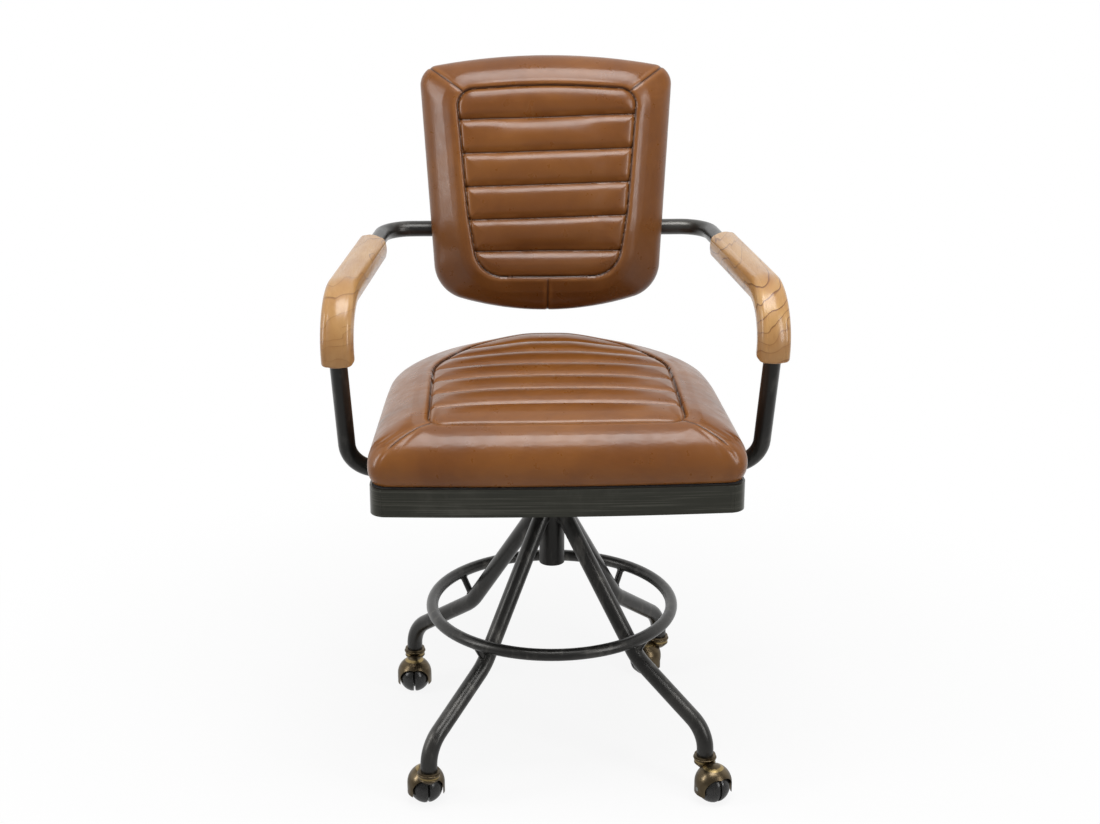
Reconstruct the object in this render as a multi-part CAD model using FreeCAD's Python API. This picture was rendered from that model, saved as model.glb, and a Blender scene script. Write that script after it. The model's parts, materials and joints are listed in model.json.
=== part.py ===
import FreeCAD, Part
import math
import os

os.makedirs("parts", exist_ok=True)

V = FreeCAD.Vector
UP = V(0, 0, 1)
CENTRE = V(0, 0, 0)
past = 2.0                  # cutting shapes run this far past the faces they cut

# Office chair with a tubular base, a screw lift, a hoop seat and tubular arms.
# Millimetres. The floor is z = 0, the swivel axis is the z axis, the sitter faces -Y.

# Base
leg_od = 22.0
leg_wall = 2.0
leg_turn = 4.67             # the base as photographed, turned under the seat
leg_slope = 54.6            # steep run from the hub, degrees below level
shin_slope = 33.4           # shallow run to the foot
knee = (145.0, 163.0)       # radius and height where the two runs meet
knee_bend = 70.0
foot_radius = 257.0         # casters stand on this circle
foot_bend = 48.0
hub_od = 34.0
hub_id = 28.0
hub_bottom = 264.0
hub_top = 372.0
leg_top_z = 362.0
ring_radius = 163.5
ring_z = 202.8
ring_rod = 16.0
strut_rod = 9.0
strut_foot = (142.0, 168.0)

# Screw lift inside the hub
bush_id = 25.0
bush_length = 60.0
bush_flange_h = 2.0
washer_od = 40.0
washer_h = 2.0
nut_across_flats = 36.0
nut_h = 16.0
nut_sleeve_h = 26.0         # of the nut's sleeve, inside the bush
running_fit = 0.05          # radial
spindle_d = 19.0
spindle_bottom = 275.0
stop_od = 24.0
stop_h = 3.0
stop_head_d = 13.0
stop_head_h = 5.0
stop_thread_d = 8.0
stop_thread_h = 20.0
stop_tip_gap = 2.0
boss_bottom = 396.5
boss_bottom_d = 32.0
boss_top_d = 46.0
plate_size = 150.0
plate_h = 6.0
plate_corner = 16.0
plate_bolt_edge = 19.0      # bolt centres in from the plate's edge
plate_bolt_d = 8.0
plate_bolt_head = 13.0
plate_bolt_head_h = 5.5
rib_h = 16.0
rib_wall = 5.0
rib_low = 20.0              # radius of the rib's lower end
rib_edge = 11.0             # the rib stops this far inside the plate's edge

# Seat frame
band_bottom = 422.0
band_top = 458.0
band_wall = 3.0
band_half = 232.0
band_front = -232.0
band_rear = 243.0
seat_taper = 0.055          # each side draws in by this much per mm towards the rear
front_bow = 8.0
front_corner = 20.0
rear_bow = 84.0
rear_corner = 165.0
bar_width = 40.0
bar_h = 5.0
board_h = 12.0
board_gap = 0.5
board_screw_d = 5.0
board_screw_head = 10.0
board_screw_head_h = 2.5
board_screw_bite = 9.0
board_screw_in = 62.0       # screws in from the side of the hoop

# Seat cushion: height over the hoop, then its side, front and rear as shares of the hoop's own,
# then the front corner and rear corner radii as shares of its half width
cushion_rings = [
    (0.3, 0.983, 0.983, 0.984, 0.088, 0.706),
    (10.0, 1.004, 1.004, 1.004, 0.094, 0.708),
    (24.0, 1.015, 1.013, 1.012, 0.102, 0.709),
    (42.0, 0.998, 0.998, 0.992, 0.121, 0.704),
    (58.0, 0.935, 0.953, 0.938, 0.157, 0.691),
    (71.0, 0.828, 0.884, 0.848, 0.208, 0.667),
    (79.0, 0.690, 0.793, 0.724, 0.250, 0.625),
    (83.0, 0.509, 0.647, 0.535, 0.288, 0.593),
    (84.5, 0.259, 0.388, 0.272, 0.400, 0.567),
]
seat_channels = 6
seat_channel_first = -134.0
seat_channel_pitch = 53.0
seat_channel_half = 140.0
back_channels = 5
back_channel_first = -24.0
back_channel_pitch = 45.0
back_channel_half = 104.0
channel_r = 5.0
channel_depth = 3.5

# Arm and back tube
tube_od = 22.0
tube_wall = 2.0
arm_z = 672.0
tube_rear = 236.0
rear_tube_in = 7.0          # the tube's corners, from the side of the hoop
front_tube_out = 39.0
low_tube_out = 30.0
tube_end_in = 27.0
front_tube_y = -165.0
low_tube_y = -112.0
tube_end_y = -100.0
low_tube_drop = 6.0         # below the top of the hoop
tube_end_up = 10.0          # above the bottom of the hoop
rear_tube_bend = 42.0
front_tube_bend = 60.0
low_tube_bend = 42.0

# Wooden arms
wood_width = 39.0
wood_height = 32.0
wood_corner = 9.0
wood_bulge = 2.0
wood_rear = 138.0
wood_end_angle = 25.0
wood_drop = 1.0            # straight run of the wood below the front bend
wood_fit = 0.1
wood_end_round = 2.5

# Back
recline = 9.0
back_tilt = math.radians(recline)
panel_h = 5.0
back_board_h = 9.0
back_half = 175.0
back_top = 239.0            # along the back, measured from the tube
back_bottom = -112.0
back_taper = 0.062
back_corner = 28.0
back_low_corner = 52.0
back_bow = 18.0
back_low_bow = 38.0
panel_in = 9.0              # the rear cover and the board inside the cushion's outline
board_in = 7.0
saddle_x = 90.0
saddle_width = 26.0
saddle_wall = 3.0
saddle_flange = 16.0
saddle_screw_d = 5.0
saddle_screw_head = 10.0
saddle_screw_head_h = 2.6
saddle_screw_short = 1.5    # the screws stop this far inside the board's front

# Casters
wheel_r = 22.0
wheel_bore = 6.0
wheel_gap = 2.6             # between the two half wheels of a ball
tread_edge = 0.6
tread_width = 2.4           # flat that runs on the floor
tread_swell = 0.25          # the ball's flank stands out this far past a true ball
cap_set_in = 1.4            # outer face of a half wheel, inside the ball
hood_rise = 5.5             # the hood's centre above the ball's
hood_gap = 1.0
hood_wall = 1.6
ear_drop = 8.0
arch_half = 20.4            # rim of the hood: across and up from the ball's centre
arch_flank = (17.6, 10.4)
arch_top = (11.0, 16.4)
arch_shoulder = (5.5, 17.8)
arch_dip = 17.0
web_h = 1.6
web_in = 1.5
caster_trail = 22.5
stem_d = 10.0
stem_top = 62.0
stem_boss_d = 13.0
neck_d = 27.0
neck_top = 47.6
neck_h = 3.1
neck_bead = 1.5
neck_cone_h = 6.5
neck_cone_d = 14.0
neck_floor = 2.2
swivel_gap = 0.4
ferrule_od = 28.0
ferrule_h = 9.0
ferrule_floor = 2.0
ferrule_bead = 1.4
ferrule_bead_down = 4.2
stem_clear = 0.6

corner_names = ["rear_right", "rear_left", "front_left", "front_right"]
trail_angles = [207.0, 269.0, 102.6, -65.9]


def save(name, shape):
    shape.exportStep("parts/" + name + ".step")


def rod(start, end, diameter):
    run = end - start
    return Part.makeCylinder(diameter / 2, run.Length, start, run)


def tube(start, end, outer, inner):
    return rod(start, end, outer).cut(rod(start, end, inner))


def bore(x, y, bottom, top, diameter):
    """An upright cutting rod that runs past both faces."""
    return rod(V(x, y, bottom - past), V(x, y, top + past), diameter)


def polar(radius, degrees, z):
    a = math.radians(degrees)
    return V(radius * math.cos(a), radius * math.sin(a), z)


def turned(shape, degrees):
    s = shape.copy()
    s.rotate(CENTRE, UP, degrees)
    return s


def mirrored(shape):
    return shape.mirror(CENTRE, V(1, 0, 0))


def bent_path(points, radii):
    """A wire of straight runs joined by tangent bends."""
    edges = []
    here = points[0]
    for i in range(1, len(points) - 1):
        a = points[i - 1] - points[i]
        b = points[i + 1] - points[i]
        a.normalize()
        b.normalize()
        half = math.acos(max(-1.0, min(1.0, a.dot(b)))) / 2
        reach = radii[i - 1] / math.tan(half)
        first = points[i] + a * reach
        last = points[i] + b * reach
        inward = a + b
        inward.normalize()
        middle = points[i] + inward * (radii[i - 1] / math.sin(half) - radii[i - 1])
        if (first - here).Length > 1e-6:
            edges.append(Part.makeLine(here, first))
        edges.append(Part.Arc(first, middle, last).toShape())
        here = last
    if (points[-1] - here).Length > 1e-6:
        edges.append(Part.makeLine(here, points[-1]))
    return Part.Wire(edges)


def round_section(path, diameter):
    edge = path.Edges[0]
    start = edge.valueAt(edge.FirstParameter)
    along = edge.tangentAt(edge.FirstParameter)
    return Part.Wire([Part.makeCircle(diameter / 2, start, along)])


def swept(path, section):
    return path.makePipeShell([section], True, False)


def bent_tube(path, outer, wall):
    body = swept(path, round_section(path, outer))
    return body.cut(swept(path, round_section(path, outer - 2 * wall)))


def surface_above(body, foot, along):
    """The outermost point of a body straight out from a point inside it."""
    inside = Part.makeLine(foot, foot + along * body.BoundBox.DiagonalLength).common(body)
    return max((v.Point for v in inside.Vertexes), key=lambda p: p.dot(along))


def channel(body, start, end, along):
    """A round groove of even depth sewn across a cushion."""
    lift = along * (channel_r - channel_depth)
    points = [surface_above(body, p, along) + lift for p in (start, (start + end) * 0.5, end)]
    curve = Part.BSplineCurve()
    curve.interpolate(points)
    path = Part.Wire([curve.toShape()])
    return swept(path, round_section(path, 2 * channel_r))


def shield(half, taper, square, bow, corner, rounded, round_bow, round_corner, place):
    """Closed outline with a squared end and a rounded end, mirrored about its long axis.

    half is the half width at the squared end, square and rounded are the positions of the
    two ends, and each end is an arc that meets the drawn-in sides through tangent corners.
    """
    sense = 1.0 if rounded > square else -1.0
    norm = math.hypot(taper, 1.0)
    side = (-taper / norm, sense / norm)
    inward = (-1.0 / norm, -sense * taper / norm)
    found = []
    for end, rise, r, e in ((square, bow, corner, -sense), (rounded, round_bow, round_corner, sense)):
        big = (half * half + rise * rise) / (2 * rise)
        hub = (0.0, end - e * big)
        px = half + r * inward[0] - hub[0]
        py = square + r * inward[1] - hub[1]
        along = px * side[0] + py * side[1]
        rest = px * px + py * py - (big - r) ** 2
        root = math.sqrt(along * along - rest)
        s = -along + root * (e * sense)
        c = (half + r * inward[0] + s * side[0], square + r * inward[1] + s * side[1])
        d = math.hypot(c[0] - hub[0], c[1] - hub[1])
        out = ((c[0] - hub[0]) / d, (c[1] - hub[1]) / d)
        on_end = (hub[0] + big * out[0], hub[1] + big * out[1])
        on_side = (c[0] - r * inward[0], c[1] - r * inward[1])
        mx = out[0] - inward[0]
        my = out[1] - inward[1]
        m = math.hypot(mx, my)
        mid = (c[0] + r * mx / m, c[1] + r * my / m)
        found.append((on_end, mid, on_side, (0.0, end)))
    a, b = found

    def at(p, flip=1.0):
        return place(p[0] * flip, p[1])

    edges = [
        Part.Arc(at(a[0], -1), at(a[3]), at(a[0])).toShape(),
        Part.Arc(at(a[0]), at(a[1]), at(a[2])).toShape(),
        Part.makeLine(at(a[2]), at(b[2])),
        Part.Arc(at(b[2]), at(b[1]), at(b[0])).toShape(),
        Part.Arc(at(b[0]), at(b[3]), at(b[0], -1)).toShape(),
        Part.Arc(at(b[0], -1), at(b[1], -1), at(b[2], -1)).toShape(),
        Part.makeLine(at(b[2], -1), at(a[2], -1)),
        Part.Arc(at(a[2], -1), at(a[1], -1), at(a[0], -1)).toShape(),
    ]
    return Part.Wire(edges)


def seat_outline(offset, z):
    return shield(band_half + offset, seat_taper, band_front - offset, front_bow, front_corner + offset,
                  band_rear + offset, rear_bow, rear_corner + offset, lambda x, y: V(x, y, z))


def slab(wire, thickness, along):
    return Part.Face(wire).extrude(along * thickness)


# Leg profile in its own upright plane
slope = math.radians(leg_slope)
shin = math.radians(shin_slope)
hub_entry = V(hub_od / 4, 0, knee[1] + (knee[0] - hub_od / 4) * math.tan(slope))
knee_at = V(knee[0], 0, knee[1])
ankle_at = V(foot_radius, 0, knee[1] - (foot_radius - knee[0]) * math.tan(shin))
ferrule_bottom = neck_top + swivel_gap
ferrule_top = ferrule_bottom + ferrule_h
leg_end_z = ferrule_bottom + ferrule_floor
foot_at = V(foot_radius, 0, leg_end_z)
leg_path = bent_path([hub_entry, knee_at, ankle_at, foot_at], [knee_bend, foot_bend])
leg = bent_tube(leg_path, leg_od, leg_wall)
far = 2 * foot_radius
hub_space = bore(0, 0, 0, hub_top, hub_od)
above_leg = Part.makeBox(far, far, hub_top, V(-far / 2, -far / 2, leg_top_z))
leg = leg.cut(hub_space).cut(above_leg)
quarter = Part.makePolygon([CENTRE, V(far, -far, 0), V(far, far, 0), CENTRE])
leg = leg.common(Part.Face(quarter).extrude(UP * hub_top))

# Hub
hub = tube(V(0, 0, hub_bottom), V(0, 0, hub_top), hub_od, hub_id)
save("hub_tube", hub)

# Foot ring, held by a strut over each knee
ring = Part.makeTorus(ring_radius, ring_rod / 2, V(0, 0, ring_z), UP)
save("foot_ring", ring)
strut = rod(V(ring_radius, 0, ring_z), V(strut_foot[0], 0, strut_foot[1]), strut_rod)
leg_solid = swept(leg_path, round_section(leg_path, leg_od))
strut = strut.cut(ring).cut(leg_solid)

# Caster parts, built at the origin with the ball under x = 0 and rolling along x
ball = V(0, 0, wheel_r)
along_axle = V(0, 1, 0)
inner_y = wheel_gap / 2
tread_from = inner_y + tread_edge
tread_to = tread_from + tread_width
cap_y = wheel_r - cap_set_in
cap_r = math.sqrt(wheel_r ** 2 - cap_y ** 2)
flank = (wheel_r + tread_swell) * math.sqrt(0.5)
wheel_face = [
    Part.makeLine(V(0, inner_y, wheel_bore / 2), V(0, inner_y, wheel_r - tread_edge)),
    Part.makeLine(V(0, inner_y, wheel_r - tread_edge), V(0, tread_from, wheel_r)),
    Part.makeLine(V(0, tread_from, wheel_r), V(0, tread_to, wheel_r)),
    Part.Arc(V(0, tread_to, wheel_r), V(0, flank, flank), V(0, cap_y, cap_r)).toShape(),
    Part.makeLine(V(0, cap_y, cap_r), V(0, cap_y, wheel_bore / 2)),
    Part.makeLine(V(0, cap_y, wheel_bore / 2), V(0, inner_y, wheel_bore / 2)),
]
wheel = Part.Face(Part.Wire(wheel_face)).revolve(CENTRE, along_axle, 360)
wheel.translate(ball)

hood_inner = wheel_r + hood_gap
hood_outer = hood_inner + hood_wall
hood_at = ball + UP * hood_rise
axle_d = wheel_bore - 2 * running_fit
axle_end = along_axle * (hood_outer - running_fit)
axle = rod(ball - axle_end, ball + axle_end, axle_d)


def dome(radius, foot):
    """An upright post with a round top, about the hood's centre."""
    return rod(V(0, 0, foot), hood_at, 2 * radius).fuse(Part.makeSphere(radius, hood_at, UP, 0, 90, 360))


def at_stem(bottom, top, diameter):
    return rod(V(-caster_trail, 0, bottom), V(-caster_trail, 0, top), diameter)


ears_at = wheel_r - ear_drop
hood_top = hood_at.z + hood_outer
stem_base = wheel_r + arch_dip + past / 4
neck = at_stem(neck_top - neck_h, neck_top, neck_d)
ring_at = V(-caster_trail, 0, neck_top - 1.1 * neck_bead)
neck_ring = Part.makeTorus((neck_d - neck_bead) / 2, neck_bead, ring_at, UP)
cone_at = V(-caster_trail, 0, neck_top - neck_h - neck_cone_h)
neck = neck.fuse(neck_ring).fuse(Part.makeCone(neck_cone_d / 2, neck_d / 2, neck_cone_h, cone_at))
whole = dome(hood_outer, ears_at).fuse(neck)
collar_d = ferrule_od + 2 * ferrule_bead + 2 * stem_clear
collar_space = at_stem(neck_top, hood_top + past, collar_d)
collar_wall = at_stem(neck_top - neck_floor, hood_top + past, collar_d + 2 * hood_wall)
stem_boss = at_stem(stem_base, neck_top, stem_boss_d)
hollow = dome(hood_inner, ears_at - past).cut(collar_wall).cut(stem_boss)
hood = whole.cut(hollow).cut(collar_space)


def rim_arc(side, start, through, end):
    """An arc of the hood's rim, given across and up from the ball, on one side of the axle's middle."""
    return Part.Arc(*[V(0, side * p[0], p[1]) for p in (start, through, end)]).toShape()


rim_foot = (arch_half, 0)
rim_low = V(0, arch_half, -wheel_r)
rim = [Part.makeLine(V(0, -arch_half, -wheel_r), rim_low)]
for side in (-1, 1):
    rim.append(Part.makeLine(V(0, side * arch_half, -wheel_r), V(0, side * arch_half, 0)))
    rim.append(rim_arc(side, rim_foot, arch_flank, arch_top))
    rim.append(rim_arc(side, arch_top, arch_shoulder, (0, arch_dip)))
rim_reach = caster_trail + neck_d
arches = Part.Face(Part.Wire(Part.sortEdges(rim)[0])).extrude(V(2 * rim_reach, 0, 0))
arches.translate(ball + V(-rim_reach, 0, 0))
hood = hood.cut(arches)
web = Part.makeCylinder(wheel_r - web_in, web_h, ball - along_axle * (web_h / 2), along_axle)
web = web.cut(Part.makeBox(2 * far, far, ears_at, V(-far, -far / 2, 0)))
web_top = Part.makeBox(2 * far, web_h, far, V(-far, -web_h / 2, wheel_r + arch_dip))
web_top = web_top.common(whole).cut(collar_space)
hood = hood.fuse(web).fuse(web_top)
hood = hood.cut(rod(ball - axle_end * 2, ball + axle_end * 2, axle_d))
hood = hood.cut(at_stem(stem_base - past, neck_top + past, stem_d))
stem = at_stem(stem_base, stem_top, stem_d)

# Ferrule over the end of each leg and the socket inside it
ferrule = Part.makeCylinder(ferrule_od / 2, ferrule_h, V(0, 0, ferrule_bottom))
bead = Part.makeTorus(ferrule_od / 2, ferrule_bead, V(0, 0, ferrule_top - ferrule_bead_down), UP)
ferrule = ferrule.fuse(bead).cut(bore(0, 0, leg_end_z + past, ferrule_top, leg_od))
ferrule = ferrule.cut(bore(0, 0, ferrule_bottom, ferrule_top, stem_d + 2 * stem_clear)).removeSplitter()
socket_od = leg_od - 2 * leg_wall
socket = tube(V(0, 0, leg_end_z), V(0, 0, stem_top + swivel_gap), socket_od, stem_d + 2 * running_fit)

struts = []
for i, name in enumerate(corner_names):
    at = 45.0 + 90.0 * i + leg_turn
    save("leg_" + name, turned(leg, at))
    struts.append(turned(strut, at))
    foot = polar(foot_radius, at, 0)
    for part_name, part in (("ferrule_", ferrule), ("stem_socket_", socket)):
        fitted = part.copy()
        fitted.translate(foot)
        save(part_name + name, fitted)
    heading = trail_angles[i]
    for part_name, part in (("hood_", hood), ("stem_", stem), ("axle_", axle), ("wheel_a_", wheel),
                            ("wheel_b_", wheel.mirror(ball, V(0, 1, 0)))):
        fitted = part.copy()
        fitted.translate(V(caster_trail, 0, 0))
        fitted = turned(fitted, heading)
        fitted.translate(foot)
        save(part_name + name, fitted)
save("ring_struts", Part.makeCompound(struts))

# Screw lift
bush = tube(V(0, 0, hub_top - bush_length), V(0, 0, hub_top), hub_id, bush_id)
bush = bush.fuse(tube(V(0, 0, hub_top), V(0, 0, hub_top + bush_flange_h), hub_od, bush_id)).removeSplitter()
save("hub_bush", bush)
washer_z = hub_top + bush_flange_h
save("thrust_washer", tube(V(0, 0, washer_z), V(0, 0, washer_z + washer_h), washer_od, bush_id))
nut_z = washer_z + washer_h
hexagon = [polar(nut_across_flats / math.sqrt(3), 60 * k, nut_z) for k in range(7)]
nut = Part.Face(Part.makePolygon(hexagon)).extrude(UP * nut_h)
nut = nut.common(Part.makeCone(nut_across_flats / 2 + 6, nut_across_flats / 2, nut_h + 1, V(0, 0, nut_z)))
sleeve_d = bush_id - 2 * running_fit
nut = nut.fuse(rod(V(0, 0, nut_z - nut_sleeve_h), V(0, 0, nut_z + nut_h / 2), sleeve_d))
nut = nut.cut(bore(0, 0, nut_z - nut_sleeve_h, nut_z + nut_h, spindle_d + 2 * running_fit))
save("lift_nut", nut)

bar_top = band_top - board_h
bar_bottom = bar_top - bar_h
plate_bottom = bar_bottom - plate_h
spindle = rod(V(0, 0, spindle_bottom), V(0, 0, bar_bottom), spindle_d)
stop_bore_top = spindle_bottom + stop_thread_h + stop_tip_gap
stop_bore = rod(V(0, 0, spindle_bottom - past), V(0, 0, stop_bore_top), stop_thread_d)
save("spindle", spindle.cut(stop_bore))
save("stop_washer", tube(V(0, 0, spindle_bottom - stop_h), V(0, 0, spindle_bottom), stop_od, stop_thread_d))
stop_z = spindle_bottom - stop_h
stop = rod(V(0, 0, stop_z - stop_head_h), V(0, 0, stop_z), stop_head_d)
stop_shank = rod(V(0, 0, stop_z - stop_head_h / 2), V(0, 0, spindle_bottom + stop_thread_h), stop_thread_d)
stop = stop.fuse(stop_shank)
save("stop_screw", stop)

plate = Part.makeBox(plate_size, plate_size, plate_h, V(-plate_size / 2, -plate_size / 2, plate_bottom))
plate = plate.makeFillet(plate_corner, [e for e in plate.Edges if abs(e.tangentAt(0).z) > 0.9])
boss = Part.makeCone(boss_bottom_d / 2, boss_top_d / 2, plate_bottom - boss_bottom, V(0, 0, boss_bottom))
plate = plate.fuse(boss)
rib_in = spindle_d / 2
rib_out = plate_size / 2 - rib_edge
for k in range(4):
    corners = [(rib_in, 0), (rib_out, 0), (rib_low, rib_h), (rib_in, rib_h), (rib_in, 0)]
    rib = Part.makePolygon([V(x, -rib_wall / 2, plate_bottom - drop) for x, drop in corners])
    plate = plate.fuse(turned(Part.Face(rib).extrude(V(0, rib_wall, 0)), 90 * k))
plate = plate.cut(bore(0, 0, boss_bottom, bar_bottom, spindle_d))
bolt_at = plate_size / 2 - plate_bolt_edge
bolts = []
for sx in (-1, 1):
    for sy in (-1, 1):
        at = V(sx * bolt_at, sy * bolt_at, 0)
        shank = rod(at + UP * (plate_bottom - plate_bolt_head_h / 2), at + UP * bar_top, plate_bolt_d)
        head = rod(at + UP * (plate_bottom - plate_bolt_head_h), at + UP * plate_bottom, plate_bolt_head)
        bolts.append(shank.fuse(head))
        plate = plate.cut(bore(at.x, at.y, plate_bottom, bar_bottom, plate_bolt_d))
save("swivel_plate", plate)
save("plate_bolts", Part.makeCompound(bolts))

# Seat hoop, cross bars and board
outer_band = slab(seat_outline(0, band_bottom), band_top - band_bottom, UP)
inner_band = slab(seat_outline(-band_wall, band_bottom - past), band_top - band_bottom + 2 * past, UP)
band = outer_band.cut(inner_band)
save("seat_band", band)
screw_at = band_half - board_screw_in
bars = []
for sy in (-1, 1):
    bar_at = V(-band_half, sy * bolt_at - bar_width / 2, bar_bottom)
    bar = Part.makeBox(2 * band_half, bar_width, bar_h, bar_at)
    bar = bar.common(inner_band)
    for sx in (-1, 1):
        bar = bar.cut(bore(sx * bolt_at, sy * bolt_at, bar_bottom, bar_top, plate_bolt_d))
        bar = bar.cut(bore(sx * screw_at, sy * bolt_at, bar_bottom, bar_top, board_screw_d))
    bars.append(bar)
save("cross_bars", Part.makeCompound(bars))
board = slab(seat_outline(-band_wall - board_gap, bar_top), board_h, UP)
screws = []
for sx in (-1, 1):
    for sy in (-1, 1):
        at = V(sx * screw_at, sy * bolt_at, 0)
        head_at = at + UP * (bar_bottom - board_screw_head_h)
        head = rod(head_at, at + UP * bar_bottom, board_screw_head)
        tip_at = at + UP * (bar_top + board_screw_bite)
        shank = rod(head_at + UP * (board_screw_head_h / 2), tip_at, board_screw_d)
        screws.append(shank.fuse(head))
        board = board.cut(shank)
save("seat_board", board)
save("board_screws", Part.makeCompound(screws))

# Seat cushion
rings = []
for rise, side, front, rear, corner, shoulder in cushion_rings:
    half = band_half * side
    rings.append(shield(half, seat_taper, band_front * front, front_bow * side, half * corner,
                        band_rear * rear, rear_bow * side, half * shoulder,
                        lambda x, y, z=band_top + rise: V(x, y, z)))
cushion = Part.makeLoft(rings, True, False)
deep = (band_top + cushion_rings[0][0] + cushion.BoundBox.ZMax) / 2
for k in range(seat_channels):
    y = seat_channel_first + k * seat_channel_pitch
    ends = [V(side * seat_channel_half, y, deep - channel_r) for side in (-1, 1)]
    cushion = cushion.cut(channel(cushion, ends[0], ends[1], UP))
save("seat_cushion", cushion)

# Arm and back tube, one length of tube from hoop to hoop
right = [V(0, tube_rear, arm_z), V(band_half - rear_tube_in, tube_rear, arm_z),
         V(band_half + front_tube_out, front_tube_y, arm_z),
         V(band_half + low_tube_out, low_tube_y, band_top - low_tube_drop),
         V(band_half - tube_end_in, tube_end_y, band_bottom + tube_end_up)]
bends = [rear_tube_bend, front_tube_bend, low_tube_bend]
half_path = bent_path(right, bends)
half_tube = bent_tube(half_path, tube_od, tube_wall)
half_tube = half_tube.cut(outer_band)
half_tube = max(half_tube.Solids, key=lambda s: s.Volume)
arm_tube = half_tube.fuse(mirrored(half_tube)).removeSplitter()
save("arm_tube", arm_tube)

# Wooden arm, bored to slide over the tube
flare = math.atan2(right[2].x - right[1].x, right[1].y - right[2].y)
ahead = V(math.sin(flare), -math.cos(flare), 0)
wood_start = right[2] + ahead * ((right[2].y - wood_rear) / math.cos(flare))
lower = right[3] - right[2]
lower.normalize()
front_half = ahead.getAngle(lower) / 2
front_reach = front_tube_bend * math.tan(front_half)
wood_behind = wood_start - ahead * past
wood_path = bent_path([wood_behind, right[2], right[2] + lower * (front_reach + wood_drop)],
                      [front_tube_bend])


def wood_section(centre, sideways):
    """Rounded rectangle with slightly bulged faces, upright at the given centre."""
    a = wood_width / 2
    b = wood_height / 2
    c = wood_corner
    k = c * (1 - math.sqrt(0.5))

    def p(x, z):
        return centre + sideways * x + UP * z

    edges = [
        Part.Arc(p(-a + c, b), p(0, b + wood_bulge), p(a - c, b)).toShape(),
        Part.Arc(p(a - c, b), p(a - k, b - k), p(a, b - c)).toShape(),
        Part.Arc(p(a, b - c), p(a + wood_bulge / 2, 0), p(a, -b + c)).toShape(),
        Part.Arc(p(a, -b + c), p(a - k, -b + k), p(a - c, -b)).toShape(),
        Part.makeLine(p(a - c, -b), p(-a + c, -b)),
        Part.Arc(p(-a + c, -b), p(-a + k, -b + k), p(-a, -b + c)).toShape(),
        Part.Arc(p(-a, -b + c), p(-a - wood_bulge / 2, 0), p(-a, b - c)).toShape(),
        Part.Arc(p(-a, b - c), p(-a + k, b - k), p(-a + c, b)).toShape(),
    ]
    return Part.Wire(edges)


sideways = V(math.cos(flare), math.sin(flare), 0)
wood = swept(wood_path, wood_section(wood_behind, sideways))
end_turn = math.degrees(flare) + wood_end_angle
block = 4 * wood_width
behind = Part.makeBox(block, block, block, V(-block / 2, 0, -block / 2))
behind.rotate(CENTRE, UP, end_turn)
behind.translate(wood_start - ahead + sideways * wood_width / 2)
wood = wood.cut(behind)
end_normals = [lower, V(-math.sin(math.radians(end_turn)), math.cos(math.radians(end_turn)), 0)]
end_faces = [f for f in wood.Faces if isinstance(f.Surface, Part.Plane)
             and max(abs(f.normalAt(0, 0).dot(n)) for n in end_normals) > 0.999]
wood = wood.makeFillet(wood_end_round, [e for f in end_faces for e in f.Edges]).Solids[0]
wood = wood.cut(swept(half_path, round_section(half_path, tube_od + 2 * wood_fit)))
save("arm_wood_right", wood)
save("arm_wood_left", mirrored(wood))

# Back: local x across, s up along the back, n forward out of the tube's centre
axis_s = V(0, math.sin(back_tilt), math.cos(back_tilt))
axis_n = V(0, -math.cos(back_tilt), math.sin(back_tilt))
tube_mid = V(0, tube_rear, arm_z)


def on_back(x, s, n):
    return tube_mid + V(x, 0, 0) + axis_s * s + axis_n * n


def back_outline(offset, n):
    return shield(back_half + offset, back_taper, back_top + offset, back_bow, back_corner + offset,
                  back_bottom - offset, back_low_bow, back_low_corner + offset,
                  lambda x, s: on_back(x, s, n))


panel_n = tube_od / 2
board_n = panel_n + panel_h
pad_n = board_n + back_board_h
back_panel = slab(back_outline(-panel_in, panel_n), panel_h, axis_n)
back_board = slab(back_outline(-board_in, board_n), back_board_h, axis_n)
back_rings = [
    (0.3, -7.0), (9.0, -1.0), (22.0, 0.0), (36.0, -5.0), (46.0, -16.0), (52.0, -34.0), (55.0, -60.0),
    (56.5, -95.0),
]
rings = []
for depth, offset in back_rings:
    half = back_half + offset
    share = half / back_half
    rings.append(shield(half, back_taper, back_top + offset, back_bow * share, back_corner,
                        back_bottom - offset, back_low_bow * share, back_low_corner * share,
                        lambda x, s, n=depth: on_back(x, s, pad_n + n)))
back_cushion = Part.makeLoft(rings, True, False)
for k in range(back_channels):
    s = back_channel_first + k * back_channel_pitch
    ends = [on_back(side * back_channel_half, s, pad_n + 2 * channel_r) for side in (-1, 1)]
    back_cushion = back_cushion.cut(channel(back_cushion, ends[0], ends[1], axis_n))
save("back_cushion", back_cushion)

# Saddles that clamp the back to the tube
tube_r = tube_od / 2
saddle_r = tube_r + saddle_wall
saddle_reach = saddle_r + saddle_flange


def upright_box(x0, width, s_half, low, high):
    """A block square to the back, from low to high in front of the tube's centre."""
    face = [on_back(x0, -s_half, low), on_back(x0, s_half, low), on_back(x0, s_half, high),
            on_back(x0, -s_half, high), on_back(x0, -s_half, low)]
    return Part.Face(Part.makePolygon(face)).extrude(V(width, 0, 0))


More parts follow.
